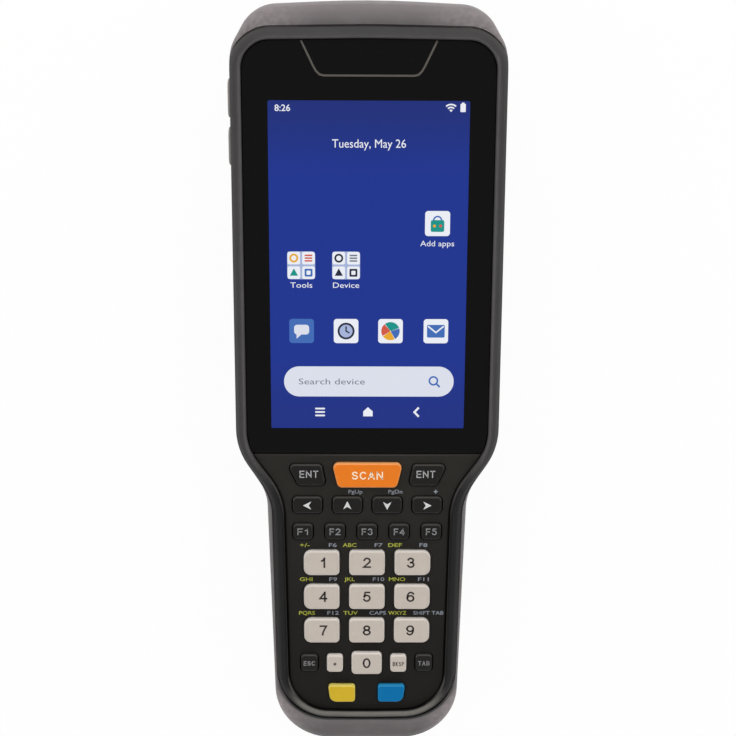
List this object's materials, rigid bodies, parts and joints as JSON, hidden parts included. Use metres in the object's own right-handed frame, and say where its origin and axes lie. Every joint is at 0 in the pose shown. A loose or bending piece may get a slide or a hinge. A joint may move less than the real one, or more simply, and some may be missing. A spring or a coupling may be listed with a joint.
{
  "type": "handheld data terminal",
  "caption": "Rugged handheld data terminal with a touch screen, a keypad on a narrow handle, side triggers and a removable battery.",
  "frame": {"origin": "on the floor under the middle of the case, which lies on its back", "axes": "+Y towards the head with the screen and the scan window, +Z out of the screen, +X to the right seen from the front"},
  "size_m": [0.0803, 0.2271, 0.038],
  "materials": {
    "gold": "gold plated",
    "battery_black": "fine moulded texture",
    "front_shell": "fine moulded texture",
    "steel": "satin",
    "module_black": "matt",
    "lens_dark": "polished",
    "display": "lit screen behind glass",
    "lens_clear": "polished",
    "seal_rubber": "matt",
    "frame_metal": "cast, satin",
    "key_light": "satin",
    "key_dark": "satin",
    "key_blue_plastic": "satin",
    "key_orange": "satin",
    "key_yellow_plastic": "satin",
    "board_green": "solder mask",
    "silicone": "matt",
    "keypad_black": "satin",
    "rear_shell": "fine moulded texture",
    "scan_red": "polished, dark red",
    "trigger_orange": "satin",
    "screen_glass": "polished"
  },
  "bodies": {
    "terminal": {"battery_contacts": "gold", "board_shields": "steel", "camera_module": "module_black", "camera_window": "lens_dark", "display_panel": "display", "dock_contacts": "gold", "flash_lens": "lens_clear", "front_housing": "front_shell", "housing_screws": "steel", "housing_seal": "seal_rubber", "inner_frame": "frame_metal", "key_domes": "steel", "keypad_board": "board_green", "keypad_mat": "silicone", "keypad_plate": "keypad_black", "main_board": "board_green", "rear_housing": "rear_shell", "scan_engine": "module_black", "scan_window": "scan_red", "scan_window_bezel": "front_shell", "side_switches": "module_black", "speaker": "module_black", "touch_glass": "screen_glass", "vibration_motor": "steel"},
    "key_0": {"key_0": "key_light"},
    "key_1": {"key_1": "key_light"},
    "key_2": {"key_2": "key_light"},
    "key_3": {"key_3": "key_light"},
    "key_4": {"key_4": "key_light"},
    "key_5": {"key_5": "key_light"},
    "key_6": {"key_6": "key_light"},
    "key_7": {"key_7": "key_light"},
    "key_8": {"key_8": "key_light"},
    "key_9": {"key_9": "key_light"},
    "key_arrow_down": {"key_arrow_down": "key_dark"},
    "key_arrow_left": {"key_arrow_left": "key_dark"},
    "key_arrow_right": {"key_arrow_right": "key_dark"},
    "key_arrow_up": {"key_arrow_up": "key_dark"},
    "key_backspace": {"key_backspace": "key_light"},
    "key_blue": {"key_blue": "key_blue_plastic"},
    "key_enter_left": {"key_enter_left": "key_dark"},
    "key_enter_right": {"key_enter_right": "key_dark"},
    "key_escape": {"key_escape": "key_dark"},
    "key_f1": {"key_f1": "key_dark"},
    "key_f2": {"key_f2": "key_dark"},
    "key_f3": {"key_f3": "key_dark"},
    "key_f4": {"key_f4": "key_dark"},
    "key_f5": {"key_f5": "key_dark"},
    "key_point": {"key_point": "key_light"},
    "key_scan": {"key_scan": "key_orange"},
    "key_tab": {"key_tab": "key_dark"},
    "key_yellow": {"key_yellow": "key_yellow_plastic"},
    "side_trigger_left": {"side_trigger_left": "trigger_orange"},
    "side_trigger_right": {"side_trigger_right": "trigger_orange"},
    "power_button": {"power_button": "front_shell"},
    "volume_up": {"volume_up": "front_shell"},
    "volume_down": {"volume_down": "front_shell"},
    "battery_release": {"battery_release": "front_shell"},
    "battery_pack": {"battery_pack": "battery_black"}
  },
  "joints": [
    {"name": "key_0_press", "type": "slide", "parent": "terminal", "child": "key_0", "axis": [0, 0, -1], "range_m": [0, 0.0008], "stiffness_N_per_m": 2000},
    {"name": "key_1_press", "type": "slide", "parent": "terminal", "child": "key_1", "axis": [0, 0, -1], "range_m": [0, 0.0008], "stiffness_N_per_m": 2000},
    {"name": "key_2_press", "type": "slide", "parent": "terminal", "child": "key_2", "axis": [0, 0, -1], "range_m": [0, 0.0008], "stiffness_N_per_m": 2000},
    {"name": "key_3_press", "type": "slide", "parent": "terminal", "child": "key_3", "axis": [0, 0, -1], "range_m": [0, 0.0008], "stiffness_N_per_m": 2000},
    {"name": "key_4_press", "type": "slide", "parent": "terminal", "child": "key_4", "axis": [0, 0, -1], "range_m": [0, 0.0008], "stiffness_N_per_m": 2000},
    {"name": "key_5_press", "type": "slide", "parent": "terminal", "child": "key_5", "axis": [0, 0, -1], "range_m": [0, 0.0008], "stiffness_N_per_m": 2000},
    {"name": "key_6_press", "type": "slide", "parent": "terminal", "child": "key_6", "axis": [0, 0, -1], "range_m": [0, 0.0008], "stiffness_N_per_m": 2000},
    {"name": "key_7_press", "type": "slide", "parent": "terminal", "child": "key_7", "axis": [0, 0, -1], "range_m": [0, 0.0008], "stiffness_N_per_m": 2000},
    {"name": "key_8_press", "type": "slide", "parent": "terminal", "child": "key_8", "axis": [0, 0, -1], "range_m": [0, 0.0008], "stiffness_N_per_m": 2000},
    {"name": "key_9_press", "type": "slide", "parent": "terminal", "child": "key_9", "axis": [0, 0, -1], "range_m": [0, 0.0008], "stiffness_N_per_m": 2000},
    {"name": "key_arrow_down_press", "type": "slide", "parent": "terminal", "child": "key_arrow_down", "axis": [0, 0, -1], "range_m": [0, 0.0008], "stiffness_N_per_m": 2000},
    {"name": "key_arrow_left_press", "type": "slide", "parent": "terminal", "child": "key_arrow_left", "axis": [0, 0, -1], "range_m": [0, 0.0008], "stiffness_N_per_m": 2000},
    {"name": "key_arrow_right_press", "type": "slide", "parent": "terminal", "child": "key_arrow_right", "axis": [0, 0, -1], "range_m": [0, 0.0008], "stiffness_N_per_m": 2000},
    {"name": "key_arrow_up_press", "type": "slide", "parent": "terminal", "child": "key_arrow_up", "axis": [0, 0, -1], "range_m": [0, 0.0008], "stiffness_N_per_m": 2000},
    {"name": "key_backspace_press", "type": "slide", "parent": "terminal", "child": "key_backspace", "axis": [0, 0, -1], "range_m": [0, 0.0008], "stiffness_N_per_m": 2000},
    {"name": "key_blue_press", "type": "slide", "parent": "terminal", "child": "key_blue", "axis": [0, 0, -1], "range_m": [0, 0.0008], "stiffness_N_per_m": 2000},
    {"name": "key_enter_left_press", "type": "slide", "parent": "terminal", "child": "key_enter_left", "axis": [0, 0, -1], "range_m": [0, 0.0008], "stiffness_N_per_m": 2000},
    {"name": "key_enter_right_press", "type": "slide", "parent": "terminal", "child": "key_enter_right", "axis": [0, 0, -1], "range_m": [0, 0.0008], "stiffness_N_per_m": 2000},
    {"name": "key_escape_press", "type": "slide", "parent": "terminal", "child": "key_escape", "axis": [0, 0, -1], "range_m": [0, 0.0008], "stiffness_N_per_m": 2000},
    {"name": "key_f1_press", "type": "slide", "parent": "terminal", "child": "key_f1", "axis": [0, 0, -1], "range_m": [0, 0.0008], "stiffness_N_per_m": 2000},
    {"name": "key_f2_press", "type": "slide", "parent": "terminal", "child": "key_f2", "axis": [0, 0, -1], "range_m": [0, 0.0008], "stiffness_N_per_m": 2000},
    {"name": "key_f3_press", "type": "slide", "parent": "terminal", "child": "key_f3", "axis": [0, 0, -1], "range_m": [0, 0.0008], "stiffness_N_per_m": 2000},
    {"name": "key_f4_press", "type": "slide", "parent": "terminal", "child": "key_f4", "axis": [0, 0, -1], "range_m": [0, 0.0008], "stiffness_N_per_m": 2000},
    {"name": "key_f5_press", "type": "slide", "parent": "terminal", "child": "key_f5", "axis": [0, 0, -1], "range_m": [0, 0.0008], "stiffness_N_per_m": 2000},
    {"name": "key_point_press", "type": "slide", "parent": "terminal", "child": "key_point", "axis": [0, 0, -1], "range_m": [0, 0.0008], "stiffness_N_per_m": 2000},
    {"name": "key_scan_press", "type": "slide", "parent": "terminal", "child": "key_scan", "axis": [0, 0, -1], "range_m": [0, 0.0008], "stiffness_N_per_m": 2000},
    {"name": "key_tab_press", "type": "slide", "parent": "terminal", "child": "key_tab", "axis": [0, 0, -1], "range_m": [0, 0.0008], "stiffness_N_per_m": 2000},
    {"name": "key_yellow_press", "type": "slide", "parent": "terminal", "child": "key_yellow", "axis": [0, 0, -1], "range_m": [0, 0.0008], "stiffness_N_per_m": 2000},
    {"name": "side_trigger_left_press", "type": "slide", "parent": "terminal", "child": "side_trigger_left", "axis": [1, 0, 0], "range_m": [0, 0.0008], "stiffness_N_per_m": 2500},
    {"name": "side_trigger_right_press", "type": "slide", "parent": "terminal", "child": "side_trigger_right", "axis": [-1, 0, 0], "range_m": [0, 0.0008], "stiffness_N_per_m": 2500},
    {"name": "power_button_press", "type": "slide", "parent": "terminal", "child": "power_button", "axis": [-1, 0, 0], "range_m": [0, 0.0008], "stiffness_N_per_m": 2500},
    {"name": "volume_up_press", "type": "slide", "parent": "terminal", "child": "volume_up", "axis": [1, 0, 0], "range_m": [0, 0.0008], "stiffness_N_per_m": 2500},
    {"name": "volume_down_press", "type": "slide", "parent": "terminal", "child": "volume_down", "axis": [1, 0, 0], "range_m": [0, 0.0008], "stiffness_N_per_m": 2500},
    {"name": "battery_release_press", "type": "slide", "parent": "terminal", "child": "battery_release", "axis": [-1, 0, 0], "range_m": [0, 0.0015], "stiffness_N_per_m": 2000},
    {"name": "battery_pack_lift", "type": "slide", "parent": "terminal", "child": "battery_pack", "axis": [0, 0, -1], "range_m": [0, 0.03]}
  ]
}
